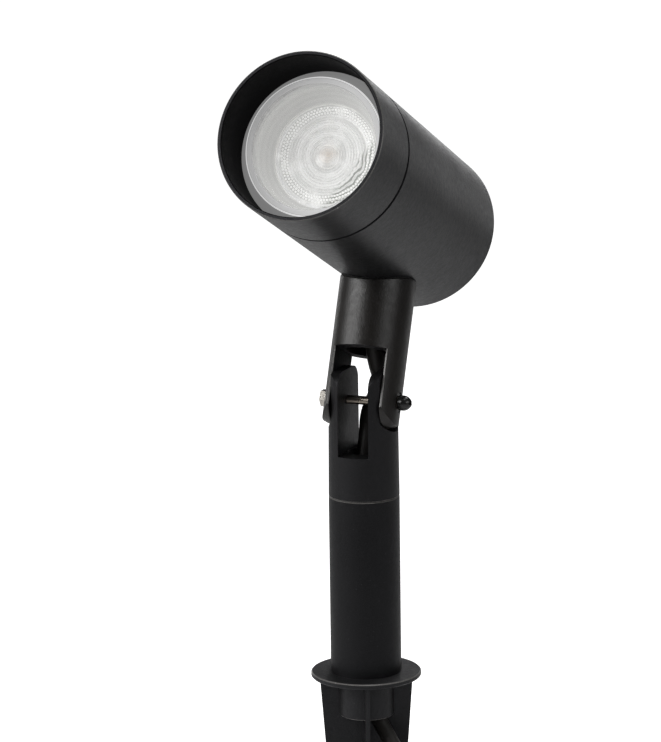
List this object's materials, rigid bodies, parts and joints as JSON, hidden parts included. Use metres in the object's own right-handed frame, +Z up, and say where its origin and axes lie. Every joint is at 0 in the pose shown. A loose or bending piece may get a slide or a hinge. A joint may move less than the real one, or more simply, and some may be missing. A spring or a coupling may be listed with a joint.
{
  "type": "garden spike spotlight",
  "caption": "Black cylindrical garden spotlight tilting on a forked knuckle above a round stem, with a ribbed ground spike and a coiled supply cord.",
  "frame": {"origin": "centre of the underside of the round flange, the level of the soil when the spike is pushed in", "axes": "+Z up along the stem, -Y the side the light points to, +X the side of the clamp bolt's domed head; the head is stored tilted 23.5 degrees above level"},
  "size_m": [0.1887, 0.1867, 0.5076],
  "materials": {
    "black_coat_spike": "satin black powder coat on cast aluminium, fine texture",
    "black_coat_stem": "satin black powder coat on drawn aluminium tube",
    "black_coat_knuckle": "satin black coat on cast aluminium, slightly smoother and warmer",
    "black_coat_head": "matt black powder coat on turned aluminium, fine grain",
    "zinc_steel": "zinc plated steel",
    "bare_aluminium": "turned, uncoated",
    "black_screw": "blackened steel",
    "bolt_steel": "stainless steel, head blackened",
    "grommet_rubber": "moulded rubber, matt",
    "cord_sheath": "rubber cable sheath, matt",
    "tie_plastic": "hook and loop strap",
    "plug_rubber": "moulded rubber with a fine grain",
    "plug_nickel": "nickel plated",
    "seal_rubber": "black seal rubber",
    "gasket_silicone": "grey silicone",
    "washer_nylon": "black nylon",
    "holder_ceramic": "white glazed ceramic",
    "contact_brass": "plain brass",
    "terminal_plastic": "natural polyamide",
    "wire_silicone": "white silicone sleeve",
    "wire_brown": "brown core insulation",
    "wire_blue": "blue core insulation",
    "wire_green_yellow": "green core insulation with a yellow stripe",
    "lamp_white": "white lamp body",
    "lamp_optic": "clear moulded lens with fine rings and dots",
    "lamp_chip": "yellow phosphor",
    "cover_glass": "clear stepped cover glass, cone frosted",
    "baffle_grey": "turned with fine concentric rings"
  },
  "bodies": {
    "ground": {"spike": "black_coat_spike", "ground_nipple": "zinc_steel", "stem_insert": "bare_aluminium", "stem_tube": "black_coat_stem", "stem_grub_screw": "black_screw", "cable_grommet": "grommet_rubber", "lead_stem": "cord_sheath", "supply_cord": "cord_sheath", "supply_coil": "cord_sheath", "coil_tie": "tie_plastic", "cord_tail": "cord_sheath", "plug_body": "plug_rubber", "plug_pins": "plug_nickel", "plug_earth_clips": "plug_nickel"},
    "knuckle": {"knuckle_base": "black_coat_knuckle", "swivel_ring": "seal_rubber", "clamp_bolt": "bolt_steel", "clamp_nut": "bolt_steel", "friction_washers": "washer_nylon", "lead_knuckle": "cord_sheath"},
    "head": {"neck": "black_coat_knuckle", "saddle_gasket": "seal_rubber", "head_nipple": "zinc_steel", "head_washer": "zinc_steel", "head_locknut": "zinc_steel", "lead_head": "cord_sheath", "housing": "black_coat_head", "bracket": "zinc_steel", "bracket_screws": "zinc_steel", "lampholder": "holder_ceramic", "holder_screws": "zinc_steel", "holder_contacts": "contact_brass", "terminal_block": "terminal_plastic", "terminal_screws": "zinc_steel", "terminal_fixing_screw": "zinc_steel", "earth_terminal": "contact_brass", "earth_screw": "zinc_steel", "lamp_wires": "wire_silicone", "core_live": "wire_brown", "core_neutral": "wire_blue", "core_earth": "wire_green_yellow"},
    "lamp": {"lamp_shell": "lamp_white", "lamp_lens": "lamp_optic", "lamp_led": "lamp_chip", "lamp_pins": "contact_brass"},
    "hood_seal": {"hood_oring": "seal_rubber"},
    "hood": {"hood": "black_coat_head", "glass_gasket": "gasket_silicone", "glass": "cover_glass", "baffle_ring": "baffle_grey"}
  },
  "joints": [
    {"name": "stem_swivel", "type": "hinge", "parent": "ground", "child": "knuckle", "pos_m": [0, 0, 0.0844], "axis": [0, 0, 1], "range_deg": [-175, 175]},
    {"name": "knuckle_tilt", "type": "hinge", "parent": "knuckle", "child": "head", "pos_m": [0, 0, 0.1276], "axis": [1, 0, 0], "range_deg": [-32, 79], "deforming": ["lead_knuckle"]},
    {"name": "lamp_twist", "type": "hinge", "parent": "head", "child": "lamp", "pos_m": [0, 0.03593, 0.21023], "axis": [0, -0.9171, 0.3987], "range_deg": [0, 20]},
    {"name": "hood_travel", "type": "slide", "parent": "head", "child": "hood_seal", "axis": [0, -0.9171, 0.3987], "range_m": [0, 0.008]},
    {"name": "hood_spin", "type": "hinge", "parent": "hood_seal", "child": "hood", "pos_m": [0, 0.03593, 0.21023], "axis": [0, -0.9171, 0.3987], "range_deg": [0, 1440]}
  ],
  "couplings": [
    {"joint": "hood_travel", "follows": "hood_spin", "m_per_rad": 0.00031831}
  ]
}
